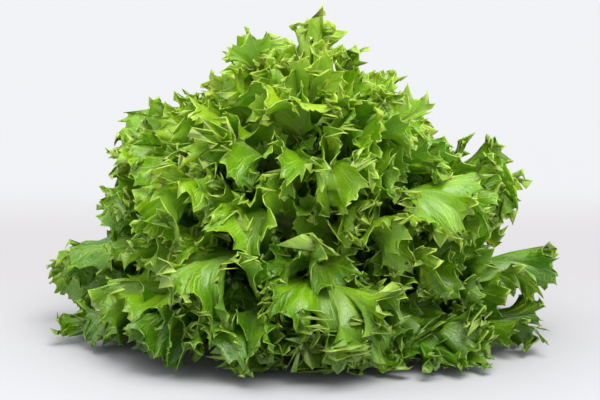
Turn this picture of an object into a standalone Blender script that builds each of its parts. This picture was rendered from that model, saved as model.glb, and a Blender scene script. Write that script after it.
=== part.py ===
"""A head of batavia lettuce that stands on its cut stem: a short domed stem and a spiral of frilled leaves.

Every leaf is drawn flat, in its own length and breadth, and then laid on a layer of the head.
The layers fan out from the stem like nested bowls, from the lowest, on the table, to the upright heart.
Leaves that lie over each other therefore stay apart. All lengths are in metres and +Z is up.
"""

import math

import bpy
import numpy as np

# The head and its spiral
LEAF_COUNT = 58
GOLDEN_TURN = math.radians(137.508)
FIRST_TURN = math.radians(200.0)
TURN_SCATTER = math.radians(6.0)
SEED = 5
LAST_RANK = 0.95

# The stem, cut flat at the bottom, with a domed top where the young leaves sit
STEM_CUT_RADIUS = 0.0155
STEM_RADIUS = 0.0175
STEM_TOP_RADIUS = 0.0025
LOWEST_LEAF_HEIGHT = 0.009
HIGHEST_LEAF_HEIGHT = 0.058
STEM_GAP = 0.0006
STEM_SIDES = 24
STEM_RINGS = 9

# The layers, from the lowest to the heart: the slope at the stem and how far a leaf bends over by its tip
REFERENCE_LENGTH = 0.155
LAYER_RANKS = (0.0, 0.1, 0.2, 0.4, 0.6, 0.75, 0.88, 1.0)
START_SLOPES = tuple(math.radians(slope) for slope in (11.0, 20.0, 30.0, 47.0, 61.0, 71.0, 81.0, 89.0))
BENDS = tuple(math.radians(bend) for bend in (58.0, 76.0, 91.0, 104.0, 106.0, 88.0, 50.0, 12.0))
BEND_GROWTH = 2.0
LAYER_STEPS = 61

# A leaf drawn flat
LENGTH_RANKS = (0.0, 0.3, 0.5, 0.7, 0.83, 0.90, 0.96, 1.0)
LENGTHS = (0.154, 0.158, 0.159, 0.154, 0.148, 0.152, 0.120, 0.045)
LEAF_HALF_WIDTH = 0.042
HEART_HALF_WIDTH = 0.007
BASE_HALF_ANGLE = 0.42
WIDEST_AT = 0.66
SHOULDER_FROM = 0.18
VEIN_SLANT = 0.45
MARGIN_POINTS = 37
LOBE_DEPTH = 0.009
ROW_REACH = (0.74, 0.40)
ROW_POINTS = (17, 9)

# Frills and blade. A leaf may use this share of the room between it and the next leaf over or under it
WAVE_HEIGHT = 0.013
RIPPLE_HEIGHT = 0.013
CURL_HEIGHT = 0.016
CUP_HEIGHT = 0.004
ROOM_SHARE = 0.34
ROOM_BORDER = 0.010
FREE_ROOM = 0.050
BLADE_THICKNESS = 0.0008
RIB_THICKNESS = 0.0026
RIB_HALF_WIDTH = 0.0055
TABLE_SOFTNESS = 0.004
LEAN_LIMIT = math.radians(9.0)

# Swells that carry the whole head a little out of true: direction, wavelength and height
SWELLS = (
    ((1.0, 0.2, 0.5), 0.150, 0.0060, 0.4),
    ((-0.3, 1.0, 0.4), 0.130, 0.0055, 2.1),
    ((0.5, -0.7, 0.9), 0.120, 0.0045, 4.0),
    ((0.8, 0.6, -0.6), 0.170, 0.0060, 5.2),
)

# Bulges and hollows of the head's outline: middle, radius and push
BULGES = (
    ((0.125, 0.0, 0.115), 0.050, (0.004, 0.0, 0.020)),
    ((0.078, 0.0, 0.145), 0.038, (-0.008, 0.0, -0.018)),
    ((-0.115, 0.0, 0.125), 0.045, (0.006, 0.0, 0.012)),
)

# The head's depth as a share of its round form, reached away from the stem
DEPTH_SHARE = 0.88

# How far the leaves lean away from the stem
HEAD_LEAN = (-0.002, -0.0025, 0.0)

# Leaves that grew longer or shorter than their neighbours
LENGTH_SHARES = {
    4: 0.92, 6: 0.97, 7: 1.04, 9: 1.08, 10: 1.03, 12: 1.14, 14: 1.05, 22: 0.80, 27: 0.84, 31: 0.98, 39: 0.86,
    44: 0.95, 48: 0.92, 49: 0.98, 50: 0.92, 51: 0.92, 52: 0.90, 53: 0.96, 55: 1.09, 57: 1.06,
}

BLADE_COLOUR = (0.135, 0.300, 0.030, 1.0)
HEART_COLOUR = (0.300, 0.430, 0.070, 1.0)
STEM_COLOUR = (0.640, 0.680, 0.420, 1.0)


def smooth_step(value, low, high):
    share = np.clip((value - low) / (high - low), 0.0, 1.0)
    return share * share * (3.0 - 2.0 * share)


def clear_scene():
    for obj in list(bpy.data.objects):
        bpy.data.objects.remove(obj)


def stem_surface(rank):
    """Radius and height of the stem where a leaf of this rank grows, from 0, the lowest, to 1, the heart."""
    turn = rank * math.pi / 2
    radius = STEM_TOP_RADIUS + (STEM_RADIUS - STEM_TOP_RADIUS) * np.cos(turn)
    height = LOWEST_LEAF_HEIGHT + (HIGHEST_LEAF_HEIGHT - LOWEST_LEAF_HEIGHT) * np.sin(turn)
    return radius, height


def layer_point(rank, along):
    """Radius, height and slope on a layer, this far along it: straight at first, bent over at the end."""
    start_radius, start_height = stem_surface(rank)
    start = np.interp(rank, LAYER_RANKS, START_SLOPES)
    bend = np.interp(rank, LAYER_RANKS, BENDS)
    walked = np.linspace(0.0, 1.2 * REFERENCE_LENGTH, LAYER_STEPS)
    slopes = start - bend * (walked / REFERENCE_LENGTH) ** BEND_GROWTH
    step = walked[1]
    outward = np.concatenate([[0.0], np.cumsum(step * np.cos((slopes[1:] + slopes[:-1]) / 2))])
    upward = np.concatenate([[0.0], np.cumsum(step * np.sin((slopes[1:] + slopes[:-1]) / 2))])
    radius = start_radius + STEM_GAP + np.interp(along, walked, outward)
    height = start_height + np.interp(along, walked, upward)
    return radius, height, np.interp(along, walked, slopes)


def half_width(share, base, widest):
    """Half the leaf's breadth at a share of its length: a strap at the base, a broad fan, a round top."""
    fan = base + (widest - base) * smooth_step(share, SHOULDER_FROM, WIDEST_AT)
    top = np.clip((share - WIDEST_AT) / (1.0 - WIDEST_AT), 0.0, 1.0)
    return fan * np.sqrt(np.clip(1.0 - top**2.4, 0.0, 1.0))


def margin_shares(count):
    """Even steps along the margin from one corner of the base over the tip to the other."""
    steps = np.linspace(-1.0, 1.0, count)
    return np.sign(steps) * np.abs(steps) ** 0.92


def flat_outline(leaf, turn):
    """The smooth outline, by turns from -1 at one corner of the base over 0 at the tip to 1 at the other."""
    shares = np.linspace(0.0, 1.0, 241) ** 0.8
    shares[-1] = 1.0
    across = half_width(shares, leaf["base"], leaf["half_width"])
    up = shares * leaf["length"]
    steps = np.hypot(np.diff(across), np.diff(up))
    walked = np.concatenate([[0.0], np.cumsum(steps)])
    walked /= walked[-1]
    height = np.interp(1.0 - np.abs(turn), walked, up)
    width = np.interp(1.0 - np.abs(turn), walked, across)
    return np.stack([np.sign(turn) * width, height], axis=-1)


def vein_foot(leaf, tip):
    """Where the vein that ends at a point of the outline leaves the midrib."""
    height = tip[..., 1]
    foot = height * (1.0 - VEIN_SLANT * height / leaf["length"])
    return np.stack([np.zeros_like(foot), foot], axis=-1)


def flat_row(leaf, turns, reach):
    """The points this far out along the veins that end at these turns of the outline."""
    tips = flat_outline(leaf, turns)
    feet = vein_foot(leaf, tips)
    return feet + (tips - feet) * np.asarray(reach)[:, None]


def margin_row(leaf):
    """The lobed margin: tips at the odd points, notches between them that fade out towards the base."""
    turns = leaf["turns"]
    tips = flat_outline(leaf, turns)
    vein_lengths = np.linalg.norm(tips - vein_foot(leaf, tips), axis=1)
    in_fan = smooth_step(tips[:, 1] / leaf["length"], 0.22, 0.45)
    notch = np.where(np.arange(len(turns)) % 2 == 0, 1.0, 0.0)
    depth = LOBE_DEPTH * leaf["notches"] * in_fan * notch
    return flat_row(leaf, turns, 1.0 - depth / vein_lengths)


def wished_lift(leaf, points, turns, reach):
    """How far the blade would wave out of its layer, more towards the margin."""
    along = points[:, 1] / leaf["length"]
    grows = smooth_step(along, 0.15, 0.75)
    waves = WAVE_HEIGHT * np.sin(leaf["wave_count"] * math.pi * turns + leaf["wave_phase"])
    ripples = RIPPLE_HEIGHT * np.interp(turns, leaf["turns"], leaf["ripples"])
    cup = CUP_HEIGHT * (points[:, 0] / leaf["half_width"]) ** 2
    curl = CURL_HEIGHT * leaf["curl"] * along**3
    return grows * (reach**1.5 * waves + reach**3 * ripples + cup) + curl


def leaf_turn(leaf, along):
    """The direction in which a leaf's midrib lies this far along it."""
    return leaf["turn"] + leaf["lean"] * smooth_step(along / leaf["length"], 0.1, 1.0)


def covers(leaf, turn, along):
    """Whether a leaf, with a border round it, lies over or under points at these directions and lengths."""
    radius, _, _ = layer_point(leaf["rank"], along)
    away = (turn - leaf_turn(leaf, along) + math.pi) % (2 * math.pi) - math.pi
    share = np.clip(along / (leaf["length"] + ROOM_BORDER), 0.0, 1.0)
    breadth = half_width(share, leaf["base"], leaf["half_width"]) + ROOM_BORDER
    return (np.abs(away) * radius < breadth) & (along < leaf["length"] + ROOM_BORDER)


def room_round(leaf, leaves, points):
    """The distance from a leaf's layer to the next leaf under it and over it, at each of its points."""
    radius, height, _ = layer_point(leaf["rank"], points[:, 1])
    turn = leaf_turn(leaf, points[:, 1]) + points[:, 0] / radius
    under = np.full(len(points), FREE_ROOM)
    over = np.full(len(points), FREE_ROOM)
    for other in leaves:
        if other is leaf:
            continue
        other_radius, other_height, _ = layer_point(other["rank"], points[:, 1])
        gap = np.hypot(other_radius - radius, other_height - height)
        gap = np.where(covers(other, turn, points[:, 1]), gap, FREE_ROOM)
        if other["rank"] < leaf["rank"]:
            under = np.minimum(under, gap)
        else:
            over = np.minimum(over, gap)
    return under, over


def lift_in_room(leaf, leaves, points, turns, reach):
    """The lift that the leaf takes: as it wishes, but within its share of the room under and over it."""
    wish = wished_lift(leaf, points, turns, reach)
    under, over = room_round(leaf, leaves, points)
    room = ROOM_SHARE * np.maximum(np.where(wish < 0, under, over) - BLADE_THICKNESS, 0.0005)
    return room * np.tanh(wish / room)


def lay_on_layer(leaf, points, lift):
    """Carries flat points to the leaf's layer, lifted out of it by these heights."""
    radius, height, slope = layer_point(leaf["rank"], points[:, 1])
    turn = leaf_turn(leaf, points[:, 1]) + points[:, 0] / radius
    radius = radius - lift * np.sin(slope)
    height = height + lift * np.cos(slope)
    return np.stack([radius * np.cos(turn), radius * np.sin(turn), height], axis=1)


def carry_with_swells(points):
    """Shifts points with the head's swells, which fade out at the stem and never fold space over."""
    fade = smooth_step(np.linalg.norm(points, axis=1), 0.06, 0.15)
    moved = points + fade[:, None] * np.array(HEAD_LEAN)
    flattening = (1.0 - DEPTH_SHARE) * smooth_step(np.hypot(points[:, 0], points[:, 1]), 0.02, 0.14)
    moved[:, 1] *= 1.0 - flattening
    for index, (direction, wavelength, height, phase) in enumerate(SWELLS):
        axis = np.array(direction) / np.linalg.norm(direction)
        push = np.roll(axis, 1 + index % 2)
        moved += (fade * height * np.sin(2 * math.pi * points @ axis / wavelength + phase))[:, None] * push
    for middle, radius, push in BULGES:
        away = np.linalg.norm(points - np.array(middle), axis=1) / radius
        moved += np.exp(-(away**2))[:, None] * np.array(push)
    return moved


def rest_on_table(points):
    """Presses what would hang below the table up on to it, and leaves what is well above it as it is."""
    floor = BLADE_THICKNESS + 0.0001
    softened = TABLE_SOFTNESS * np.log1p(np.exp((points[:, 2] - floor) / TABLE_SOFTNESS))
    pressed = points.copy()
    pressed[:, 2] = floor + softened
    return pressed


def stitch(first, first_turns, second, second_turns):
    """Triangles between two rows of point numbers that run the same way."""
    faces = []
    i = j = 0
    while i < len(first) - 1 or j < len(second) - 1:
        next_i = first_turns[i + 1] if i < len(first) - 1 else math.inf
        next_j = second_turns[j + 1] if j < len(second) - 1 else math.inf
        if next_i <= next_j:
            faces.append((first[i], first[i + 1], second[j]))
            i += 1
        else:
            faces.append((first[i], second[j + 1], second[j]))
            j += 1
    return [face for face in faces if len(set(face)) == 3]


def leaf_rows(leaf):
    """The leaf's rows from the margin in to the midrib: flat points, their turns and how far out they lie."""
    rows = [(margin_row(leaf), leaf["turns"], 1.0)]
    for reach, count in zip(ROW_REACH, ROW_POINTS):
        turns = margin_shares(count)
        rows.append((flat_row(leaf, turns, np.full(count, reach)), turns, reach))
    half_turns = margin_shares(ROW_POINTS[-1])[: ROW_POINTS[-1] // 2 + 1]
    rib = vein_foot(leaf, flat_outline(leaf, half_turns))
    rows.append((rib, half_turns, 0.0))
    return rows


def leaf_faces(rows):
    """The blade's triangles, and its border as a loop of point numbers."""
    numbers = []
    start = 0
    for points, _, _ in rows:
        numbers.append(list(range(start, start + len(points))))
        start += len(points)
    rib = numbers[-1]
    rib_path = rib + rib[-2::-1]
    half_turns = rows[-1][1]
    rib_turns = np.concatenate([half_turns, -half_turns[-2::-1]])
    paths = numbers[:-1] + [rib_path]
    path_turns = [turns for _, turns, _ in rows[:-1]] + [rib_turns]
    faces = []
    for outer, outer_turns, inner, inner_turns in zip(paths, path_turns, paths[1:], path_turns[1:]):
        faces += stitch(outer, outer_turns, inner, inner_turns)
    right_base = [path[-1] for path in numbers[1:-1]]
    left_base = [path[0] for path in numbers[-2:0:-1]]
    border = numbers[0] + right_base + [rib[0]] + left_base
    return faces, border


def point_normals(points, faces):
    """Each point's normal, from the triangles round it."""
    corners = points[np.array(faces)]
    face_normals = np.cross(corners[:, 1] - corners[:, 0], corners[:, 2] - corners[:, 0])
    normals = np.zeros_like(points)
    for corner in range(3):
        np.add.at(normals, np.array(faces)[:, corner], face_normals)
    return normals / np.linalg.norm(normals, axis=1)[:, None]


def blade_thickness(leaf, flat):
    """A thin blade with a fleshy midrib, thickest at the base, that dies away towards the tip."""
    across = np.exp(-((flat[:, 0] / RIB_HALF_WIDTH) ** 2))
    fade = np.clip(1.0 - flat[:, 1] / (0.8 * leaf["length"]), 0.0, 1.0)
    return BLADE_THICKNESS + RIB_THICKNESS * leaf["vigour"] * across * fade


def leaf_mesh(leaf, leaves):
    """The whole leaf: its upper face, its lower face and the rim between them."""
    rows = leaf_rows(leaf)
    flat = np.concatenate([points for points, _, _ in rows])
    turns = np.concatenate([turns for _, turns, _ in rows])
    reach = np.concatenate([np.full(len(points), out) for points, _, out in rows])
    faces, border = leaf_faces(rows)
    lift = lift_in_room(leaf, leaves, flat, turns, reach)
    upper = rest_on_table(carry_with_swells(lay_on_layer(leaf, flat, lift)))
    lower = upper - point_normals(upper, faces) * blade_thickness(leaf, flat)[:, None]
    count = len(upper)
    lower_faces = [tuple(corner + count for corner in reversed(face)) for face in faces]
    rim = []
    for here, after in zip(border, border[1:] + border[:1]):
        rim.append((after, here, here + count))
        rim.append((after, here + count, after + count))
    return np.concatenate([upper, lower]), faces + lower_faces + rim


def make_material(name, colour, roughness):
    material = bpy.data.materials.new(name)
    material.use_nodes = True
    shader = material.node_tree.nodes["Principled BSDF"]
    shader.inputs["Base Color"].default_value = colour
    shader.inputs["Roughness"].default_value = roughness
    shader.inputs["Metallic"].default_value = 0.0
    return material


def add_object(name, points, faces, material):
    mesh = bpy.data.meshes.new(name)
    mesh.from_pydata([tuple(point) for point in points], [], faces)
    mesh.materials.append(material)
    mesh.validate()
    mesh.shade_smooth()
    mesh.set_sharp_from_angle(angle=math.radians(50.0))
    obj = bpy.data.objects.new(name, mesh)
    bpy.context.scene.collection.objects.link(obj)
    return obj


def add_stem(material):
    """The stem as a turned solid: a flat cut, a short side and the dome that the leaves grow on."""
    ranks = np.linspace(0.0, 1.0, STEM_RINGS)
    radii, heights = stem_surface(ranks)
    profile = [(STEM_CUT_RADIUS, 0.0)] + list(zip(radii, heights))
    angles = [2 * math.pi * side / STEM_SIDES for side in range(STEM_SIDES)]
    points = [(r * math.cos(a), r * math.sin(a), z) for r, z in profile for a in angles]
    faces = [tuple(reversed(range(STEM_SIDES)))]
    for ring in range(len(profile) - 1):
        low = ring * STEM_SIDES
        high = low + STEM_SIDES
        for side in range(STEM_SIDES):
            after = (side + 1) % STEM_SIDES
            faces.append((low + side, low + after, high + after, high + side))
    last = (len(profile) - 1) * STEM_SIDES
    faces.append(tuple(range(last, last + STEM_SIDES)))
    return add_object("stem", points, faces, material)


def leaf_of(number, draw):
    """One leaf's measures, by its place in the spiral and a few seeded draws."""
    rank = LAST_RANK * number / (LEAF_COUNT - 1)
    heart = smooth_step(rank, 0.80, 1.0)
    half_breadth = LEAF_HALF_WIDTH + (HEART_HALF_WIDTH - LEAF_HALF_WIDTH) * heart
    radius, _ = stem_surface(rank)
    turns = margin_shares(MARGIN_POINTS)
    signs = np.where(np.arange(MARGIN_POINTS) // 2 % 2 == 0, 1.0, -1.0)
    length_share = draw.uniform(0.90, 1.06) * LENGTH_SHARES.get(number + 1, 1.0)
    return {
        "rank": rank,
        "turn": FIRST_TURN + number * GOLDEN_TURN + draw.uniform(-TURN_SCATTER, TURN_SCATTER),
        "length": np.interp(rank, LENGTH_RANKS, LENGTHS) * length_share,
        "half_width": half_breadth * draw.uniform(0.85, 1.12),
        "base": BASE_HALF_ANGLE * radius,
        "vigour": radius / STEM_RADIUS,
        "lean": draw.uniform(-LEAN_LIMIT, LEAN_LIMIT),
        "turns": turns,
        "notches": draw.uniform(0.6, 1.4, MARGIN_POINTS),
        "ripples": signs * draw.uniform(0.5, 1.0, MARGIN_POINTS),
        "curl": draw.uniform(-1.0, 0.6),
        "wave_count": draw.uniform(3.5, 6.0),
        "wave_phase": draw.uniform(0.0, 2 * math.pi),
    }


def main():
    clear_scene()
    draw = np.random.default_rng(SEED)
    stem_material = make_material("stem", STEM_COLOUR, 0.5)
    blade_material = make_material("leaf_green", BLADE_COLOUR, 0.45)
    heart_material = make_material("leaf_pale", HEART_COLOUR, 0.45)
    add_stem(stem_material)
    leaves = [leaf_of(number, draw) for number in range(LEAF_COUNT)]
    for number, leaf in enumerate(leaves):
        points, faces = leaf_mesh(leaf, leaves)
        material = heart_material if leaf["rank"] > 0.85 else blade_material
        add_object(f"leaf_{number + 1:02d}", points, faces, material)


main()
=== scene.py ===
"""The looks of a batavia lettuce head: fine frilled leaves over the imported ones, materials, light, camera.

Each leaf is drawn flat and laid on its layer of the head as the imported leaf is, with a finer margin.
Its veins are then bent out of the layer, more and more towards the margin, which makes the frills.
All lengths are in metres, +Z is up and the photograph's camera looks along +Y.
"""

import math

import bpy
import numpy as np
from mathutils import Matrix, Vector


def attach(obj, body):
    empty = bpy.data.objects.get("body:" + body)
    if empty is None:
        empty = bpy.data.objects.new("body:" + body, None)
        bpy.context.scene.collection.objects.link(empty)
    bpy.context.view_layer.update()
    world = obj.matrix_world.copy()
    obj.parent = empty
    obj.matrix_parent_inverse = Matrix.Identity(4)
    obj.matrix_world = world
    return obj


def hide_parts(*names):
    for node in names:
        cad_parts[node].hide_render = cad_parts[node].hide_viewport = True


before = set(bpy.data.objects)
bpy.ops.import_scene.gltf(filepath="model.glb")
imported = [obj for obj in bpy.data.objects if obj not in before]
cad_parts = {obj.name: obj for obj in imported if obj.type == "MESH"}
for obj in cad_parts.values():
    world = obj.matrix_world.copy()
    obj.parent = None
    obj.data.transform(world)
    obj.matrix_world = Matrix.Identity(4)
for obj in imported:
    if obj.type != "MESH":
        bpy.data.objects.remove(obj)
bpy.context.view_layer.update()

# The head and its spiral, as packed
LEAF_COUNT = 58
GOLDEN_TURN = math.radians(137.508)
FIRST_TURN = math.radians(200.0)
TURN_SCATTER = math.radians(6.0)
SEED = 5
LAST_RANK = 0.95
HEART_BAND = (0.80, 1.0)
STEM_RADIUS = 0.0175
STEM_TOP_RADIUS = 0.0025
LOWEST_LEAF_HEIGHT = 0.009
HIGHEST_LEAF_HEIGHT = 0.058
STEM_GAP = 0.0006

# The layers, from the lowest to the heart: the slope at the stem and how far a leaf bends over by its tip
REFERENCE_LENGTH = 0.155
LAYER_RANKS = (0.0, 0.1, 0.2, 0.4, 0.6, 0.75, 0.88, 1.0)
START_SLOPES = tuple(math.radians(slope) for slope in (11.0, 20.0, 30.0, 47.0, 61.0, 71.0, 81.0, 89.0))
BENDS = tuple(math.radians(bend) for bend in (58.0, 76.0, 91.0, 104.0, 106.0, 88.0, 50.0, 12.0))
BEND_GROWTH = 2.0
LAYER_STEPS = 61
LAYER_REACH = 1.2

# A leaf drawn flat. Names that end in PART are shares of its length, between which something sets in.
LENGTH_RANKS = (0.0, 0.3, 0.5, 0.7, 0.83, 0.90, 0.96, 1.0)
LENGTHS = (0.154, 0.158, 0.159, 0.154, 0.148, 0.152, 0.120, 0.045)
LEAF_HALF_WIDTH = 0.042
HEART_HALF_WIDTH = 0.007
BASE_HALF_ANGLE = 0.42
WIDEST_AT = 0.66
SHOULDER_FROM = 0.18
TIP_ROUNDNESS = 2.4
VEIN_SLANT = 0.45
MARGIN_POINTS = 37
MARGIN_SPREAD = 0.92
LOBE_DEPTH = 0.009
LOBED_PART = (0.12, 0.40)
LEANING_PART = (0.1, 1.0)

# A leaf's lift off its layer, the room that it has between its neighbours, and how it rests on the table
WAVING_PART = (0.15, 0.75)
WAVE_HEIGHT = 0.013
RIPPLE_HEIGHT = 0.013
CURL_HEIGHT = 0.016
CUP_HEIGHT = 0.004
ROOM_SHARE = 0.34
ROOM_BORDER = 0.010
FREE_ROOM = 0.050
LEAST_ROOM = 0.0005
BLADE_THICKNESS = 0.0008
TABLE_GAP = 0.0001
TABLE_SOFTNESS = 0.004

# How far the leaves differ, by seeded draws between these limits
LEAN_LIMIT = math.radians(9.0)
LENGTH_SCATTER = (0.90, 1.06)
BREADTH_SCATTER = (0.85, 1.12)
NOTCH_SCATTER = (0.6, 1.4)
RIPPLE_SCATTER = (0.5, 1.0)
CURL_SCATTER = (-1.0, 0.6)
WAVE_COUNTS = (3.5, 6.0)

# The head's swells (direction, wavelength, height, phase), bulges (middle, radius, push), flattening from
# front to back and lean. A band is two distances from the stem, between which they set in.
SWELLS = (
    ((1.0, 0.2, 0.5), 0.150, 0.0060, 0.4),
    ((-0.3, 1.0, 0.4), 0.130, 0.0055, 2.1),
    ((0.5, -0.7, 0.9), 0.120, 0.0045, 4.0),
    ((0.8, 0.6, -0.6), 0.170, 0.0060, 5.2),
)
BULGES = (
    ((0.125, 0.0, 0.115), 0.050, (0.004, 0.0, 0.020)),
    ((0.078, 0.0, 0.145), 0.038, (-0.008, 0.0, -0.018)),
    ((-0.115, 0.0, 0.125), 0.045, (0.006, 0.0, 0.012)),
)
SWELL_BAND = (0.06, 0.15)
DEPTH_SHARE = 0.88
DEPTH_BAND = (0.02, 0.14)
HEAD_LEAN = (-0.002, -0.0025, 0.0)

# Packed leaves that are shorter or longer than their draw, by number
LENGTH_SHARES = {
    4: 0.92, 6: 0.97, 7: 1.04, 9: 1.08, 10: 1.03, 12: 1.14, 14: 1.05, 22: 0.80, 27: 0.84, 31: 0.98, 39: 0.86,
    44: 0.95, 48: 0.92, 49: 0.98, 50: 0.92, 51: 0.92, 52: 0.90, 53: 0.96, 55: 1.09, 57: 1.06,
}

# The grid of a fine leaf: the columns across each bay between two teeth, and the rows from margin to midrib.
# A row is its reach from the midrib, the columns that it keeps of each bay, and how many bays it steps.
BAY_STEPS = (0.0, 0.12, 0.35, 0.65, 0.88)
ALL, THREE, TWO, ONE = (0, 1, 2, 3, 4), (0, 2, 3), (0, 2), (0,)
ROWS = (
    (1.0, ALL, 1), (0.972, THREE, 1), (0.942, THREE, 1), (0.905, THREE, 1), (0.86, TWO, 1), (0.80, TWO, 1),
    (0.72, TWO, 1), (0.62, ONE, 1), (0.50, ONE, 1), (0.36, ONE, 2), (0.20, ONE, 2), (0.0, ONE, 2),
)
FIRST_COLUMNS = 241
OUTLINE_POINTS = 241
OUTLINE_SPREAD = 0.8
FINE_SEED = 101

# The teeth and lobes of the fine margin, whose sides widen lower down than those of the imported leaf
TOOTH_SPACING = 0.0113
TOOTH_WIDTHS = (0.40, 1.70)
TOOTH_SHORTENING = 0.35
BAY_DEPTH_SHARE = 0.46
BAY_ROUNDNESS = 0.75
LOBE_ROUNDNESS = 0.55
LOBE_GROWTH = 1.15
DEEPEST_INSET = 0.5
FINE_SHOULDER_FROM = 0.03

# Waves that bend the veins up and down: the wave along the margin, the band that bends and the largest bend
FRILLS = (
    (0.0100, 0.010, math.radians(46.0)),
    (0.0185, 0.026, math.radians(68.0)),
    (0.042, 0.058, math.radians(44.0)),
)
WAVE_PACES = (0.6, 1.4)
WAVE_SIZES = (0.55, 1.3)
WAVE_SIZE_COUNT = 12
TOOTH_CURL = math.radians(34.0)
TOOTH_BAND = 0.006
LARGEST_BEND = math.radians(80.0)
SWING = 0.20
FRILLED_PART = (0.08, 0.42)
FRILLED_HALF_WIDTH = 0.026
LOW_LEAF_FRILL = 0.20
LOW_RANKS = (0.0, 0.5)
LIFT_SPREAD = 4

# How thick a fine leaf is at its rim, on its blade and on its midrib
RIM_THICKNESS = 0.00035
MID_THICKNESS = 0.0006
THINNING_BAND = (0.0, 0.3)
RIB_THICKNESS = 0.0030
RIB_HALF_WIDTH = 0.0040
RIB_LENGTH_SHARE = 0.85

# Short leaves between the long ones: their number, ranks, first direction, and shares of a long leaf's size
SHORT_LEAVES = 60
SHORT_FIRST_RANK = 0.03
SHORT_LAST_RANK = 0.86
SHORT_RANK_SPREAD = 1.25
SHORT_FIRST_TURN = math.radians(31.0)
SHORT_LENGTH = (0.58, 0.92)
SHORT_BREADTH = (0.60, 0.95)

# More of them, which fill out the left shoulder, the right side and the front: rank, degrees and length
PLACED_LEAVES = (
    (0.53, 184.0, 0.138), (0.41, 3.0, 0.155), (0.10, 272.0, 0.158), (0.09, 291.0, 0.158),
    (0.23, 281.0, 0.140), (0.12, 258.0, 0.138), (0.58, 283.0, 0.138), (0.30, 225.0, 0.140),
    (0.09, 262.0, 0.155), (0.09, 229.0, 0.155), (0.05, 268.0, 0.142), (0.05, 244.0, 0.148),
    (0.04, 305.0, 0.166),
)

# One more short leaf, for the left one of the two tufts at the top
TUFT = {"rank": 0.93, "turn": math.radians(214.0), "length": 0.136, "half_width": 0.022, "tone": 0.80}
TUFT_SEED = 7

# Fine leaves that end a little before their packed leaf, whose frill would else stand out of the head
FINE_LENGTHS = {
    4: 0.96, 14: 0.96, 19: 0.84, 22: 0.96, 31: 0.82, 36: 0.95, 40: 0.91, 43: 0.95, 44: 0.93, 45: 0.93,
    48: 0.88, 51: 0.94, 53: 0.91, 56: 0.96,
}

# A leaf's tone is its rank with a scatter, a few leaves are yellower by one step, and the heart is pale
PALE_FROM_RANK = 0.85
TONE_SCATTER = 0.25
YELLOW_STEP = 0.45
YELLOW_SHARE = 0.16

# Colours of a leaf: deep, light and yellow blade, veins, rim (the margin's own paler tone with a painted
# highlight) and back
GREEN_LEAF = (
    (0.045, 0.200, 0.000), (0.255, 0.500, 0.000), (0.440, 0.560, 0.010),
    (0.410, 0.610, 0.060), (0.560, 0.730, 0.110), (0.190, 0.370, 0.030),
)
PALE_LEAF = (
    (0.130, 0.320, 0.004), (0.330, 0.560, 0.010), (0.470, 0.590, 0.030),
    (0.520, 0.690, 0.140), (0.560, 0.730, 0.060), (0.320, 0.490, 0.060),
)
OLIVE_PATCHES = (0.210, 0.310, 0.008)
MIDRIB = (0.62, 0.70, 0.36)
# Painted shade: a darker green laid over every leaf low down near the table, fading out by this height
LOW_PAINTED_SHADE = (0.030, 0.110, 0.000)
LOW_PAINTED_SHADE_HEIGHT = 0.075

# A leaf's patterns by their scale, the number of its veins, and its sheen
PATCH_SCALE = 12.0
CLOUD_SCALE = 38.0
WANDER_SCALE = 95.0
NET_SCALE = 380.0
SPECKLE_SCALE = 420.0
VEIN_COUNT = 44.0
LEAF_ROUGHNESS = (0.26, 0.39)
LEAF_SPECULAR = 0.60

# The stem: its skin and cut face from dark to light, how high the cut face's colour reaches, its patterns
STEM_SKIN = ((0.50, 0.60, 0.26), (0.70, 0.75, 0.48))
STEM_CUT = ((0.48, 0.34, 0.17), (0.66, 0.58, 0.34))
STEM_CUT_HEIGHT = 0.0016
STEM_CLOUD_SCALE = 140.0
FIBRE_SCALE = 900.0
FIBRE_STRETCH = (1.0, 1.0, 0.12)
STEM_ROUGHNESS = (0.40, 0.60)

# The table's colour in front of the head (painted light), behind it (painted shade) and far away, and where
# it changes; light, world and camera
TABLE_LIT_FRONT = (0.485, 0.487, 0.505)
TABLE_SHADED_BEHIND = (0.405, 0.392, 0.404)
TABLE_FAR = (0.448, 0.450, 0.458)
TABLE_SHADE_BAND = (-0.25, 0.25)
TABLE_PALES = (0.30, 0.55)
TABLE_ROUGHNESS = 0.8
TABLE_REACH = 30.0
LIGHTS = (
    ("key", (0.22, -0.32, 0.92), math.radians(48.0), 3.2, (1.0, 0.99, 0.96)),
    ("back", (-0.55, 0.30, 0.78), math.radians(40.0), 0.5, (1.0, 1.0, 0.97)),
)
WORLD_COLOUR = (0.93, 0.95, 1.0, 1.0)
WORLD_STRENGTH = 0.92
CAMERA_TARGET = (0.0, 0.0, 0.083)
CAMERA_ELEVATION = math.radians(10.0)
CAMERA_LENS = 94.0
SENSOR_WIDTH = 36.0


def smooth_step(value, low, high):
    share = np.clip((value - low) / (high - low), 0.0, 1.0)
    return share * share * (3.0 - 2.0 * share)


def smooth_between(places, knots, values):
    """Values between knots, eased so that the curve is level at each knot."""
    index = np.clip(np.searchsorted(knots, places, side="right") - 1, 0, len(knots) - 2)
    low, high = np.asarray(knots)[index], np.asarray(knots)[index + 1]
    ease = smooth_step(places, low, high)
    values = np.asarray(values)
    return values[index] * (1.0 - ease) + values[index + 1] * ease


def stem_surface(rank):
    turn = rank * math.pi / 2
    radius = STEM_TOP_RADIUS + (STEM_RADIUS - STEM_TOP_RADIUS) * np.cos(turn)
    height = LOWEST_LEAF_HEIGHT + (HIGHEST_LEAF_HEIGHT - LOWEST_LEAF_HEIGHT) * np.sin(turn)
    return radius, height


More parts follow.
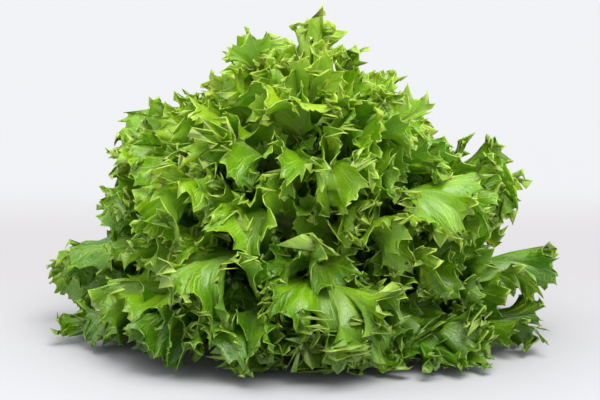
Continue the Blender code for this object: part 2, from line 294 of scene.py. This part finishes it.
def layer_point(rank, along):
    """Radius, height and slope on a layer, this far along it: straight at first, bent over at the end."""
    start_radius, start_height = stem_surface(rank)
    start = np.interp(rank, LAYER_RANKS, START_SLOPES)
    bend = np.interp(rank, LAYER_RANKS, BENDS)
    walked = np.linspace(0.0, LAYER_REACH * REFERENCE_LENGTH, LAYER_STEPS)
    slopes = start - bend * (walked / REFERENCE_LENGTH) ** BEND_GROWTH
    step = walked[1]
    outward = np.concatenate([[0.0], np.cumsum(step * np.cos((slopes[1:] + slopes[:-1]) / 2))])
    upward = np.concatenate([[0.0], np.cumsum(step * np.sin((slopes[1:] + slopes[:-1]) / 2))])
    radius = start_radius + STEM_GAP + np.interp(along, walked, outward)
    height = start_height + np.interp(along, walked, upward)
    return radius, height, np.interp(along, walked, slopes)


def half_width(share, leaf, shoulder):
    """A leaf's reach to one side of its midrib at shares of its length, widening from the shoulder."""
    fan = leaf["base"] + (leaf["half_width"] - leaf["base"]) * smooth_step(share, shoulder, WIDEST_AT)
    top = np.clip((share - WIDEST_AT) / (1.0 - WIDEST_AT), 0.0, 1.0)
    return fan * np.sqrt(np.clip(1.0 - top**TIP_ROUNDNESS, 0.0, 1.0))


def walk(points):
    """How far along a line of points each point is."""
    return np.concatenate([[0.0], np.cumsum(np.linalg.norm(np.diff(points, axis=0), axis=1))])


def margin_shares(count):
    steps = np.linspace(-1.0, 1.0, count)
    return np.sign(steps) * np.abs(steps) ** MARGIN_SPREAD


def flat_outline(leaf, turn):
    """The smooth outline and its length. Turns run from -1 at the base over 0 at the tip to 1."""
    shares = np.linspace(0.0, 1.0, OUTLINE_POINTS) ** OUTLINE_SPREAD
    across = half_width(shares, leaf, FINE_SHOULDER_FROM)
    up = shares * leaf["length"]
    walked = walk(np.stack([across, up], axis=1))
    height = np.interp(1.0 - np.abs(turn), walked / walked[-1], up)
    width = np.interp(1.0 - np.abs(turn), walked / walked[-1], across)
    return np.stack([np.sign(turn) * width, height], axis=-1), 2 * walked[-1]


def vein_foot(leaf, tip):
    """Where the vein that ends at a point of the outline leaves the midrib."""
    height = tip[..., 1]
    foot = height * (1.0 - VEIN_SLANT * height / leaf["length"])
    return np.stack([np.zeros_like(foot), foot], axis=-1)


def leaf_turn(leaf, along):
    """The direction of the midrib, this far along it."""
    return leaf["turn"] + leaf["lean"] * smooth_step(along / leaf["length"], *LEANING_PART)


def covers(leaf, turn, along):
    """Whether a leaf, with a border round it, lies over or under points at these directions and lengths."""
    radius, _, _ = layer_point(leaf["rank"], along)
    away = (turn - leaf_turn(leaf, along) + math.pi) % (2 * math.pi) - math.pi
    share = np.clip(along / (leaf["length"] + ROOM_BORDER), 0.0, 1.0)
    breadth = half_width(share, leaf, SHOULDER_FROM) + ROOM_BORDER
    return (np.abs(away) * radius < breadth) & (along < leaf["length"] + ROOM_BORDER)


def room_round(leaf, leaves, points):
    """The distance from a leaf's layer to the next leaf under it and over it, at each of its points."""
    radius, height, _ = layer_point(leaf["rank"], points[:, 1])
    turn = leaf_turn(leaf, points[:, 1]) + points[:, 0] / radius
    under = np.full(len(points), FREE_ROOM)
    over = np.full(len(points), FREE_ROOM)
    for other in leaves:
        if other is leaf:
            continue
        other_radius, other_height, _ = layer_point(other["rank"], points[:, 1])
        gap = np.hypot(other_radius - radius, other_height - height)
        gap = np.where(covers(other, turn, points[:, 1]), gap, FREE_ROOM)
        if other["rank"] < leaf["rank"]:
            under = np.minimum(under, gap)
        else:
            over = np.minimum(over, gap)
    return under, over


def wished_lift(leaf, points, turns, reach):
    """How far a leaf's points would stand off its layer if there were no other leaves."""
    along = points[:, 1] / leaf["length"]
    grows = smooth_step(along, *WAVING_PART)
    waves = WAVE_HEIGHT * np.sin(leaf["wave_count"] * math.pi * turns + leaf["wave_phase"])
    ripples = RIPPLE_HEIGHT * smooth_between(turns, leaf["turns"], leaf["ripples"])
    cup = CUP_HEIGHT * (points[:, 0] / leaf["half_width"]) ** 2
    curl = CURL_HEIGHT * leaf["curl"] * along**3
    return grows * (reach**1.5 * waves + reach**3 * ripples + cup) + curl


def lift_in_room(leaf, leaves, points, turns, reach):
    """The wished lift, held back so that the leaf stays clear of the leaves under and over it."""
    wish = wished_lift(leaf, points, turns, reach)
    under, over = room_round(leaf, leaves, points)
    room = ROOM_SHARE * np.maximum(np.where(wish < 0, under, over) - BLADE_THICKNESS, LEAST_ROOM)
    return room * np.tanh(wish / room)


def lay_on_layer(leaf, points, lift):
    """Flat points (across, along) bent onto the leaf's layer round the stem, with a lift off the layer."""
    radius, height, slope = layer_point(leaf["rank"], points[:, 1])
    turn = leaf_turn(leaf, points[:, 1]) + points[:, 0] / radius
    radius = radius - lift * np.sin(slope)
    height = height + lift * np.cos(slope)
    return np.stack([radius * np.cos(turn), radius * np.sin(turn), height], axis=1)


def carry_with_swells(points):
    """Leans and flattens the head and gives it the swells and bulges that a grown head has."""
    fade = smooth_step(np.linalg.norm(points, axis=1), *SWELL_BAND)
    moved = points + fade[:, None] * np.array(HEAD_LEAN)
    flattening = (1.0 - DEPTH_SHARE) * smooth_step(np.hypot(points[:, 0], points[:, 1]), *DEPTH_BAND)
    moved[:, 1] *= 1.0 - flattening
    for index, (direction, wavelength, height, phase) in enumerate(SWELLS):
        axis = np.array(direction) / np.linalg.norm(direction)
        push = np.roll(axis, 1 + index % 2)
        moved += (fade * height * np.sin(2 * math.pi * points @ axis / wavelength + phase))[:, None] * push
    for middle, radius, push in BULGES:
        away = np.linalg.norm(points - np.array(middle), axis=1) / radius
        moved += np.exp(-(away**2))[:, None] * np.array(push)
    return moved


def rest_on_table(points):
    """Presses what would lie under the table softly up onto it."""
    floor = BLADE_THICKNESS + TABLE_GAP
    pressed = points.copy()
    pressed[:, 2] = floor + TABLE_SOFTNESS * np.log1p(np.exp((points[:, 2] - floor) / TABLE_SOFTNESS))
    return pressed


def leaf_of(number, draw):
    """One leaf's measures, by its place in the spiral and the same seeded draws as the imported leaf."""
    rank = LAST_RANK * number / (LEAF_COUNT - 1)
    heart = smooth_step(rank, *HEART_BAND)
    half_breadth = LEAF_HALF_WIDTH + (HEART_HALF_WIDTH - LEAF_HALF_WIDTH) * heart
    radius, _ = stem_surface(rank)
    signs = np.where(np.arange(MARGIN_POINTS) // 2 % 2 == 0, 1.0, -1.0)
    length_share = draw.uniform(*LENGTH_SCATTER) * LENGTH_SHARES.get(number + 1, 1.0)
    return {
        "rank": rank,
        "turn": FIRST_TURN + number * GOLDEN_TURN + draw.uniform(-TURN_SCATTER, TURN_SCATTER),
        "length": np.interp(rank, LENGTH_RANKS, LENGTHS) * length_share,
        "half_width": half_breadth * draw.uniform(*BREADTH_SCATTER),
        "base": BASE_HALF_ANGLE * radius,
        "vigour": radius / STEM_RADIUS,
        "lean": draw.uniform(-LEAN_LIMIT, LEAN_LIMIT),
        "turns": margin_shares(MARGIN_POINTS),
        "notches": draw.uniform(*NOTCH_SCATTER, MARGIN_POINTS),
        "ripples": signs * draw.uniform(*RIPPLE_SCATTER, MARGIN_POINTS),
        "curl": draw.uniform(*CURL_SCATTER),
        "wave_count": draw.uniform(*WAVE_COUNTS),
        "wave_phase": draw.uniform(0.0, 2 * math.pi),
    }


def frill_waves(draw, margin_length):
    """The waves of a margin: their phases along it at an uneven pace, sizes, band and largest bend."""
    waves = []
    for wave, band, largest in FRILLS:
        cycles = margin_length / wave
        knots = np.linspace(-1.0, 1.0, max(int(cycles) + 2, 4))
        pace = np.cumsum(draw.uniform(*WAVE_PACES, len(knots)))
        pace = (pace - pace[0]) / (pace[-1] - pace[0])
        phases = 2 * math.pi * (cycles * pace + draw.uniform())
        waves.append((knots, phases, draw.uniform(*WAVE_SIZES, WAVE_SIZE_COUNT), band, largest))
    return waves


def lobe_depth(leaf, turns, heights):
    """How far the margin's lobes lie inside the outline, with a notch between two lobes."""
    lobe = np.interp(turns, leaf["turns"], np.arange(MARGIN_POINTS))
    notch = np.clip(2 * np.round(lobe / 2), 0, MARGIN_POINTS - 1).astype(int)
    lobes = leaf["notches"][notch] * np.clip(1.0 - (lobe - notch) ** 2, 0.0, 1.0) ** LOBE_ROUNDNESS
    growth = LOBE_GROWTH * leaf["half_width"] / LEAF_HALF_WIDTH
    return smooth_step(heights, *LOBED_PART) * LOBE_DEPTH * growth * lobes


def tooth_columns(draw, turns, walked):
    """Teeth of uneven breadth along the margin: each column's turn, cut and curl, and how many teeth.

    Each side has an even number of teeth, because the inner rows step over every second bay.
    """
    middle = len(turns) // 2
    count = 2 * max(3, round(walked[-1] / TOOTH_SPACING / 4))
    places, depths, curls = [], [], []
    curl = draw.normal(0.0, TOOTH_CURL, 2 * count + 1)
    short = draw.uniform(0.0, TOOTH_SHORTENING, 2 * count + 1)
    for side, (low, high) in enumerate(((0.0, walked[middle]), (walked[middle], walked[-1]))):
        widths = draw.uniform(*TOOTH_WIDTHS, count)
        widths *= (high - low) / widths.sum()
        tips = low + np.concatenate([[0.0], np.cumsum(widths)])
        for number, width in enumerate(widths):
            tooth = side * count + number
            for share in BAY_STEPS:
                bay = (1.0 - (2.0 * share - 1.0) ** 2) ** BAY_ROUNDNESS
                places.append(tips[number] + width * share)
                tip = (1.0 - share) * short[tooth] + share * short[tooth + 1]
                depths.append(BAY_DEPTH_SHARE * (width * bay + TOOTH_SPACING * tip))
                curls.append((1.0 - share) * curl[tooth] + share * curl[tooth + 1])
    places.append(walked[-1])
    depths.append(0.0)
    curls.append(curl[-1])
    return np.interp(places, walked, turns), np.array(depths), np.array(curls), 2 * count


def fine_grid(leaf, leaves, turns, depth):
    """A leaf's points by rows from the midrib: on its layer, drawn flat, and their way to the margin."""
    reaches = np.array([row[0] for row in reversed(ROWS)])
    outline, _ = flat_outline(leaf, turns)
    feet = vein_foot(leaf, outline)
    veins = np.maximum(np.linalg.norm(outline - feet, axis=1), 1e-6)
    heights = outline[:, 1] / leaf["length"]
    lobes = lobe_depth(leaf, turns, heights)
    teeth = smooth_step(heights, *LOBED_PART) * depth
    inset = np.minimum((lobes + teeth) / veins, DEEPEST_INSET)
    reach = reaches[:, None] - inset[None, :] * reaches[:, None] ** 3
    flat = feet[None] + (outline - feet)[None] * reach[..., None]
    shape = flat.shape[:2]
    turn_grid = np.broadcast_to(turns, shape)
    reach_grid = np.broadcast_to(reaches[:, None], shape)
    points = flat.reshape(-1, 2)
    lift = lift_in_room(leaf, leaves, points, turn_grid.ravel(), reach_grid.ravel())
    base = carry_with_swells(lay_on_layer(leaf, points, lift)).reshape(*shape, 3)
    to_margin = np.maximum(veins[None] * (1.0 - reach) - lobes[None], 0.0)
    return base, flat, to_margin


def unit(vectors):
    return vectors / np.maximum(np.linalg.norm(vectors, axis=-1, keepdims=True), 1e-12)


def frilled(leaf, grid, flat, to_margin, turns, waves, curls):
    """Bends the veins up and down in waves, each wave in a band along the margin, and curls each tooth."""
    outward = np.diff(grid, axis=0)
    lengths = np.linalg.norm(outward, axis=-1, keepdims=True)
    outward = unit(outward)
    along = unit(np.gradient(grid, axis=1))
    middle_along = (along[1:] + along[:-1]) / 2
    normal = unit(np.cross(outward, middle_along))
    sideways = unit(np.cross(normal, outward))
    near = (to_margin[1:] + to_margin[:-1]) / 2
    heights = flat[-1, :, 1] / leaf["length"]
    in_fan = smooth_step(heights, *FRILLED_PART) * min(1.0, leaf["half_width"] / FRILLED_HALF_WIDTH)
    in_fan = in_fan * (1.0 + LOW_LEAF_FRILL * (1.0 - smooth_step(leaf["rank"], *LOW_RANKS)))
    bend = np.zeros_like(near)
    swing = np.zeros_like(near)
    for knots, phases, sizes, band, largest in waves:
        phase = np.interp(turns, knots, phases)
        strength = 1.0 - smooth_step(near, 0.0, band)
        size = np.interp(turns, np.linspace(-1, 1, len(sizes)), sizes) * in_fan
        bend += strength * (largest * size * np.sin(phase))[None]
        swing += strength * (SWING * largest * size * np.sin(2 * phase))[None]
    bend += (1.0 - smooth_step(near, 0.0, TOOTH_BAND)) * (curls * in_fan)[None]
    bend = LARGEST_BEND * np.tanh(bend / LARGEST_BEND)
    step = np.cos(bend)[..., None] * (
        np.cos(swing)[..., None] * outward + np.sin(swing)[..., None] * sideways
    ) + np.sin(bend)[..., None] * normal
    return np.concatenate([grid[:1], grid[:1] + np.cumsum(step * lengths, axis=0)])


def lift_off_table(grid, reaches):
    """Raises each vein from its foot outwards, by as much as its lowest point lies under the table."""
    needed = np.maximum(BLADE_THICKNESS - grid[..., 2].min(axis=0), 0.0)
    for blend in (np.max, np.mean):
        needed = blend([np.roll(needed, shift) for shift in range(-LIFT_SPREAD, LIFT_SPREAD + 1)], axis=0)
    raised = grid.copy()
    raised[..., 2] += needed[None] * reaches[:, None] ** 2
    return raised


def grid_normals(grid):
    return unit(np.cross(np.gradient(grid, axis=0), np.gradient(grid, axis=1)))


def stitch(first, first_turns, second, second_turns):
    """Triangles between two rows of point numbers that run the same way."""
    faces = []
    i = j = 0
    while i < len(first) - 1 or j < len(second) - 1:
        next_i = first_turns[i + 1] if i < len(first) - 1 else math.inf
        next_j = second_turns[j + 1] if j < len(second) - 1 else math.inf
        if next_i <= next_j:
            faces.append((first[i], first[i + 1], second[j]))
            i += 1
        else:
            faces.append((first[i], second[j + 1], second[j]))
            j += 1
    return faces


def leaf_pattern(teeth):
    """Which points of the grid each row keeps, with the triangles between them and the border."""
    turns = np.linspace(-1.0, 1.0, teeth * len(BAY_STEPS) + 1)
    rows, row_turns, kept, start = [], [], [], 0
    last = len(ROWS) - 1
    for row, (_, picked, step) in enumerate(ROWS):
        columns = np.add.outer(np.arange(0, teeth, step) * len(BAY_STEPS), picked).ravel()
        columns = np.append(columns, teeth * len(BAY_STEPS))
        if row == last:
            columns = columns[: len(columns) // 2 + 1]
        kept.append((last - row, columns))
        rows.append(list(range(start, start + len(columns))))
        row_turns.append(turns[columns])
        start += len(columns)
    rib = rows[-1]
    rows[-1] = rib + rib[-2::-1]
    row_turns[-1] = np.concatenate([row_turns[-1], -row_turns[-1][-2::-1]])
    faces = []
    for outer, outer_turns, inner, inner_turns in zip(rows, row_turns, rows[1:], row_turns[1:]):
        faces += stitch(outer, outer_turns, inner, inner_turns)
    faces = np.array([face for face in faces if len(set(face)) == 3])
    border = rows[0] + [row[-1] for row in rows[1:-1]] + [rib[0]] + [row[0] for row in rows[-2:0:-1]]
    return kept, faces, np.array(border)


def rib_share(leaf, flat):
    """How much of a point is midrib, from 1 on the rib at the base to 0 on the blade."""
    across = np.exp(-((flat[..., 0] / RIB_HALF_WIDTH) ** 2))
    return across * np.clip(1.0 - flat[..., 1] / (RIB_LENGTH_SHARE * leaf["length"]), 0.0, 1.0)


def build_leaf(name, seed, leaf, leaves, material):
    """One closed leaf: its upper face, its lower face and the rim between, with what its material reads.

    The margin is bent first without teeth, on even columns, to set the teeth by the way along it in space.
    """
    draw = np.random.default_rng(seed)
    turns = np.linspace(-1.0, 1.0, FIRST_COLUMNS)
    none = np.zeros(FIRST_COLUMNS)
    _, margin_length = flat_outline(leaf, turns)
    waves = frill_waves(draw, margin_length)
    margin = frilled(leaf, *fine_grid(leaf, leaves, turns, none), turns, waves, none)[-1]
    turns, depth, curls, teeth = tooth_columns(draw, turns, walk(margin))
    kept, faces, border = leaf_pattern(teeth)
    reaches = np.array([row[0] for row in reversed(ROWS)])
    base, flat, to_margin = fine_grid(leaf, leaves, turns, depth)
    grid = lift_off_table(frilled(leaf, base, flat, to_margin, turns, waves, curls), reaches)
    shape = grid.shape
    grid = rest_on_table(grid.reshape(-1, 3)).reshape(shape)
    normals = grid_normals(grid)
    middle = len(turns) // 2
    normals[0, : middle + 1] = unit(normals[1, : middle + 1] + normals[1, middle:][::-1])
    ribs = rib_share(leaf, flat)
    blade = RIM_THICKNESS + (MID_THICKNESS - RIM_THICKNESS) * smooth_step(1.0 - reaches, *THINNING_BAND)
    thick = blade[:, None] + RIB_THICKNESS * leaf["vigour"] * ribs
    upper = np.concatenate([grid[row, picked] for row, picked in kept])
    normal = np.concatenate([normals[row, picked] for row, picked in kept])
    depth = np.concatenate([thick[row, picked] for row, picked in kept])
    rib = np.concatenate([ribs[row, picked] for row, picked in kept])
    places = np.concatenate([
        np.stack([turns[picked] / 2 + 0.5, np.full(len(picked), reaches[row])], axis=1)
        for row, picked in kept
    ])
    lower = upper - normal * depth[:, None]
    count = len(upper)
    after = np.roll(border, -1)
    rim = np.concatenate([
        np.stack([after, border, border + count], axis=1),
        np.stack([after, border + count, after + count], axis=1),
    ])
    points = np.concatenate([upper, lower])
    triangles = np.concatenate([faces, faces[:, ::-1] + count, rim])
    piece = add_mesh(name, points, triangles, np.concatenate([places, places]), material)
    values = {
        "tone": np.full(2 * count, leaf["tone"]),
        "rib": np.concatenate([rib, rib]),
        "under": np.concatenate([np.zeros(count), np.ones(count)]),
    }
    for title, value in values.items():
        attribute = piece.data.attributes.new(title, "FLOAT", "POINT")
        attribute.data.foreach_set("value", value.astype(np.float32))
    return piece


def add_mesh(name, points, triangles, uv, material):
    mesh = bpy.data.meshes.new(name)
    mesh.vertices.add(len(points))
    mesh.vertices.foreach_set("co", points.astype(np.float32).ravel())
    mesh.loops.add(triangles.size)
    mesh.loops.foreach_set("vertex_index", triangles.astype(np.int32).ravel())
    mesh.polygons.add(len(triangles))
    mesh.polygons.foreach_set("loop_start", np.arange(0, triangles.size, 3, dtype=np.int32))
    layer = mesh.uv_layers.new(name="LeafMap")
    layer.data.foreach_set("uv", uv[triangles.ravel()].astype(np.float32).ravel())
    mesh.materials.append(material)
    mesh.update(calc_edges=True)
    mesh.validate()
    mesh.shade_smooth()
    obj = bpy.data.objects.new(name, mesh)
    bpy.context.scene.collection.objects.link(obj)
    return obj


class Nodes:
    """A material's node tree, with short calls for its nodes. Inputs are numbers, colours or sockets."""

    def __init__(self, name):
        self.material = bpy.data.materials.new(name)
        self.material.use_nodes = True
        self.tree = self.material.node_tree
        self.shader = self.tree.nodes["Principled BSDF"]

    def put(self, socket, value):
        if isinstance(value, bpy.types.NodeSocket):
            self.tree.links.new(value, socket)
        elif isinstance(value, tuple) and len(value) == 3 and socket.type == "RGBA":
            socket.default_value = (*value, 1.0)
        else:
            socket.default_value = value

    def add(self, kind, output, inputs, **settings):
        node = self.tree.nodes.new(kind)
        for title, value in settings.items():
            setattr(node, title, value)
        for key, value in inputs.items():
            self.put(node.inputs[key], value)
        return node.outputs[output]

    def math(self, operation, first, second=0.0, third=0.0):
        return self.add("ShaderNodeMath", 0, {0: first, 1: second, 2: third}, operation=operation)

    def ramp(self, value, low, high, start=0.0, end=1.0):
        inputs = {0: value, 1: low, 2: high, 3: start, 4: end}
        return self.add("ShaderNodeMapRange", 0, inputs, interpolation_type="SMOOTHSTEP")

    def mix(self, share, first, second):
        return self.add("ShaderNodeMix", 2, {0: share, 6: first, 7: second}, data_type="RGBA")

    def noise(self, place, scale, detail=2.0):
        return self.add("ShaderNodeTexNoise", 0, {"Vector": place, "Scale": scale, "Detail": detail})

    def attribute(self, title):
        return self.add("ShaderNodeAttribute", 2, {}, attribute_type="GEOMETRY", attribute_name=title)

    def split(self, vector):
        node = self.tree.nodes.new("ShaderNodeSeparateXYZ")
        self.put(node.inputs[0], vector)
        return node.outputs

    def bump(self, height, strength, distance):
        return self.add("ShaderNodeBump", 0, {"Strength": strength, "Distance": distance, "Height": height})

    def soften(self, weight, radius, scale):
        """Lets light into the surface and out again a little way off."""
        for title, value in (("Weight", weight), ("Radius", radius), ("Scale", scale)):
            self.shader.inputs[f"Subsurface {title}"].default_value = value


def vein_lines(nodes, across, reach):
    """Veins that fork twice on their way out: strong, middling and fine lines, each from 0 to 1."""
    main = nodes.math("ABSOLUTE", nodes.math("SUBTRACT", nodes.math("FRACT", across), 0.5))
    fork = nodes.ramp(reach, 0.20, 0.95, 0.0, 0.27)
    branch = nodes.math("ABSOLUTE", nodes.math("SUBTRACT", main, fork))
    small_fork = nodes.ramp(reach, 0.45, 1.0, 0.0, 0.12)
    twig = nodes.math("ABSOLUTE", nodes.math("SUBTRACT", branch, small_fork))
    width = nodes.ramp(reach, 0.0, 1.0, 0.15, 0.04)
    strong = nodes.ramp(main, 0.0, width, 1.0, 0.0)
    middling = nodes.ramp(branch, 0.0, nodes.math("MULTIPLY", width, 0.8), 1.0, 0.0)
    fine = nodes.ramp(twig, 0.0, nodes.math("MULTIPLY", width, 0.6), 1.0, 0.0)
    return strong, middling, fine


def leaf_material(name, deep, light, yellow, vein, rim, back):
    """A leaf: blade tones, forked pale veins with a fine net between, a thin rim that is partly a painted
    highlight, a matt paler back, and painted shade on what lies low.
    """
    nodes = Nodes(name)
    place = nodes.add("ShaderNodeTexCoord", "Object", {})
    leaf_map = nodes.add("ShaderNodeUVMap", 0, {}, uv_map="LeafMap")
    turn, reach, _ = nodes.split(leaf_map)
    _, _, height = nodes.split(place)
    tone, rib, under = (nodes.attribute(title) for title in ("tone", "rib", "under"))
    clouds = nodes.noise(place, CLOUD_SCALE, 3.0)
    patches = nodes.noise(place, PATCH_SCALE)
    speckle = nodes.noise(place, SPECKLE_SCALE)
    across = nodes.math("MULTIPLY", turn, VEIN_COUNT)
    wander = nodes.math("MULTIPLY_ADD", nodes.noise(place, WANDER_SCALE), 0.5, across)
    strong, middling, fine = vein_lines(nodes, wander, reach)
    cell_inputs = {"Vector": place, "Scale": NET_SCALE}
    cells = nodes.add("ShaderNodeTexVoronoi", "Distance", cell_inputs, feature="DISTANCE_TO_EDGE")
    net = nodes.ramp(cells, 0.0, 0.16, 1.0, 0.0)

    blade = nodes.mix(nodes.ramp(clouds, 0.30, 0.75, 0.0, 0.85), deep, light)
    blade = nodes.mix(nodes.ramp(tone, -0.2, 0.65, 0.88, 0.0), blade, deep)
    blade = nodes.mix(nodes.ramp(tone, 0.05, 0.95, 0.0, 0.85), blade, light)
    blade = nodes.mix(nodes.ramp(tone, 0.75, 1.35, 0.0, 0.6), blade, yellow)
    blade = nodes.mix(nodes.ramp(patches, 0.48, 0.66, 0.0, 0.30), blade, OLIVE_PATCHES)
    blade = nodes.mix(nodes.ramp(reach, 0.05, 0.45, 0.45, 0.0), blade, vein)
    lines = nodes.math("MAXIMUM", strong, nodes.math("MULTIPLY", middling, 0.75))
    lines = nodes.math("MAXIMUM", lines, nodes.math("MULTIPLY", fine, 0.55))
    lines = nodes.math("MAXIMUM", lines, nodes.math("MULTIPLY", net, 0.22))
    blade = nodes.mix(nodes.math("MULTIPLY", lines, 0.62), blade, vein)
    blade = nodes.mix(nodes.math("MULTIPLY", under, 0.45), blade, back)
    blade = nodes.mix(nodes.math("MULTIPLY", rib, 0.9), blade, MIDRIB)
    # The rim: the margin's own paler tone and a painted highlight, patchy along the margin
    paler_rim_and_highlight = nodes.ramp(clouds, 0.25, 0.65, 0.15, 0.65)
    edge = nodes.math("MULTIPLY", nodes.ramp(reach, ROWS[1][0], 1.0), paler_rim_and_highlight)
    blade = nodes.mix(edge, blade, rim)
    # Painted shade: whatever lies low towards the table takes a darker green
    blade = nodes.mix(nodes.ramp(height, 0.0, LOW_PAINTED_SHADE_HEIGHT, 0.60, 0.0), blade, LOW_PAINTED_SHADE)
    nodes.put(nodes.shader.inputs["Base Color"], blade)

    gloss = nodes.ramp(speckle, 0.3, 0.7, *LEAF_ROUGHNESS)
    nodes.put(nodes.shader.inputs["Roughness"], nodes.math("MULTIPLY_ADD", under, 0.14, gloss))
    sunk = nodes.math("MULTIPLY", lines, nodes.math("MULTIPLY_ADD", under, 2.0, -1.0))
    relief = nodes.math("MULTIPLY_ADD", speckle, 0.25, sunk)
    nodes.put(nodes.shader.inputs["Normal"], nodes.bump(relief, 0.55, 0.0005))
    nodes.soften(0.55, (0.8, 1.0, 0.2), 0.0015)
    nodes.shader.inputs["Specular IOR Level"].default_value = LEAF_SPECULAR
    return nodes.material


def stem_material():
    """The stem: a pale waxy skin with upright fibres, and a cut face that has dried a little brown."""
    nodes = Nodes("stem_skin")
    place = nodes.add("ShaderNodeTexCoord", "Object", {})
    long_place = nodes.add("ShaderNodeMapping", 0, {"Vector": place, "Scale": FIBRE_STRETCH})
    fibres = nodes.noise(long_place, FIBRE_SCALE, 3.0)
    clouds = nodes.noise(place, STEM_CLOUD_SCALE, 3.0)
    _, _, height = nodes.split(place)
    skin = nodes.mix(nodes.ramp(fibres, 0.3, 0.7), *STEM_SKIN)
    cut = nodes.mix(nodes.ramp(clouds, 0.35, 0.65), *STEM_CUT)
    colour = nodes.mix(nodes.ramp(height, 0.0, STEM_CUT_HEIGHT, 1.0, 0.0), skin, cut)
    nodes.put(nodes.shader.inputs["Base Color"], colour)
    nodes.put(nodes.shader.inputs["Roughness"], nodes.ramp(clouds, 0.3, 0.7, *STEM_ROUGHNESS))
    nodes.put(nodes.shader.inputs["Normal"], nodes.bump(fibres, 0.4, 0.0004))
    nodes.soften(0.3, (1.0, 0.9, 0.4), 0.003)
    return nodes.material


def add_floor():
    """A pale table, a little greyer behind the head than in front of it and far away: painted shade behind
    the head and painted light in front of it.
    """
    nodes = Nodes("table")
    _, away, _ = nodes.split(nodes.add("ShaderNodeTexCoord", "Object", {}))
    # Painted light in front of the head and painted shade behind it, then a middle grey far away
    table = nodes.mix(nodes.ramp(away, *TABLE_SHADE_BAND), TABLE_LIT_FRONT, TABLE_SHADED_BEHIND)
    table = nodes.mix(nodes.ramp(away, *TABLE_PALES), table, TABLE_FAR)
    nodes.put(nodes.shader.inputs["Base Color"], table)
    nodes.shader.inputs["Roughness"].default_value = TABLE_ROUGHNESS
    corners = ((-1, -1), (1, -1), (1, 1), (-1, 1))
    points = [(TABLE_REACH * x, TABLE_REACH * y, 0.0) for x, y in corners]
    mesh = bpy.data.meshes.new("table")
    mesh.from_pydata(points, [], [(0, 1, 2, 3)])
    mesh.materials.append(nodes.material)
    obj = bpy.data.objects.new("table", mesh)
    bpy.context.scene.collection.objects.link(obj)


def add_light(name, towards, softness, strength, colour):
    """A broad distant light that comes from this direction, as even over the floor as over the head."""
    light = bpy.data.lights.new(name, "SUN")
    light.angle = softness
    light.energy = strength
    light.color = colour
    obj = bpy.data.objects.new(name, light)
    obj.rotation_euler = Vector(towards).to_track_quat("Z", "Y").to_euler()
    bpy.context.scene.collection.objects.link(obj)


def add_camera():
    """The photograph's camera, one metre from its target."""
    target = Vector(CAMERA_TARGET)
    camera = bpy.data.cameras.new("camera")
    camera.lens = CAMERA_LENS
    camera.sensor_width = SENSOR_WIDTH
    obj = bpy.data.objects.new("camera", camera)
    obj.location = target + Vector((0.0, -math.cos(CAMERA_ELEVATION), math.sin(CAMERA_ELEVATION)))
    obj.rotation_euler = (target - obj.location).to_track_quat("-Z", "Y").to_euler()
    bpy.context.scene.collection.objects.link(obj)
    bpy.context.scene.camera = obj


def set_world():
    world = bpy.data.worlds.new("studio")
    world.use_nodes = True
    background = world.node_tree.nodes["Background"]
    background.inputs["Color"].default_value = WORLD_COLOUR
    background.inputs["Strength"].default_value = WORLD_STRENGTH
    bpy.context.scene.world = world
    bpy.context.scene.view_settings.view_transform = "Standard"


def short_leaf(number, draw):
    """A leaf that stayed short between the long ones, on a layer of its own."""
    share = number / (SHORT_LEAVES - 1)
    leaf = leaf_of(0, draw)
    leaf["rank"] = SHORT_FIRST_RANK + (SHORT_LAST_RANK - SHORT_FIRST_RANK) * share**SHORT_RANK_SPREAD
    leaf["turn"] = SHORT_FIRST_TURN + number * GOLDEN_TURN
    leaf["length"] = np.interp(leaf["rank"], LENGTH_RANKS, LENGTHS) * draw.uniform(*SHORT_LENGTH)
    leaf["base"] = BASE_HALF_ANGLE * stem_surface(leaf["rank"])[0]
    leaf["half_width"] = LEAF_HALF_WIDTH * draw.uniform(*SHORT_BREADTH)
    return leaf


def main():
    draw = np.random.default_rng(SEED)
    leaves = [leaf_of(number, draw) for number in range(LEAF_COUNT)]
    tones = np.random.default_rng(FINE_SEED)
    short_leaves = [short_leaf(number, tones) for number in range(SHORT_LEAVES)]
    for rank, direction, length in PLACED_LEAVES:
        leaf = short_leaf(0, tones)
        leaf["rank"] = rank
        leaf["turn"] = math.radians(direction)
        leaf["length"] = length
        short_leaves.append(leaf)
    for leaf in leaves + short_leaves:
        scatter = tones.uniform(-TONE_SCATTER, TONE_SCATTER)
        leaf["tone"] = leaf["rank"] + scatter + YELLOW_STEP * (tones.uniform() < YELLOW_SHARE)
    tuft = short_leaf(0, np.random.default_rng(TUFT_SEED))
    tuft.update(TUFT)
    short_leaves.append(tuft)
    for number, share in FINE_LENGTHS.items():
        leaves[number - 1]["length"] *= share
    green = leaf_material("leaf_green_blade", *GREEN_LEAF)
    pale = leaf_material("leaf_pale_blade", *PALE_LEAF)
    for number, leaf in enumerate(leaves):
        heart = leaf["rank"] > PALE_FROM_RANK
        name = f"fine_leaf_{number + 1:02d}"
        piece = build_leaf(name, FINE_SEED + number, leaf, leaves, pale if heart else green)
        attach(piece, "root")
        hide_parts(f"leaf_{number + 1:02d}")
    for number, leaf in enumerate(short_leaves):
        name = f"short_leaf_{number + 1:02d}"
        piece = build_leaf(name, FINE_SEED + LEAF_COUNT + number, leaf, leaves, green)
        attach(piece, "root")
    skin = stem_material()
    for material_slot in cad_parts["stem"].material_slots:
        material_slot.material = skin
    add_floor()
    for light in LIGHTS:
        add_light(*light)
    set_world()
    add_camera()
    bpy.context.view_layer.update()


main()
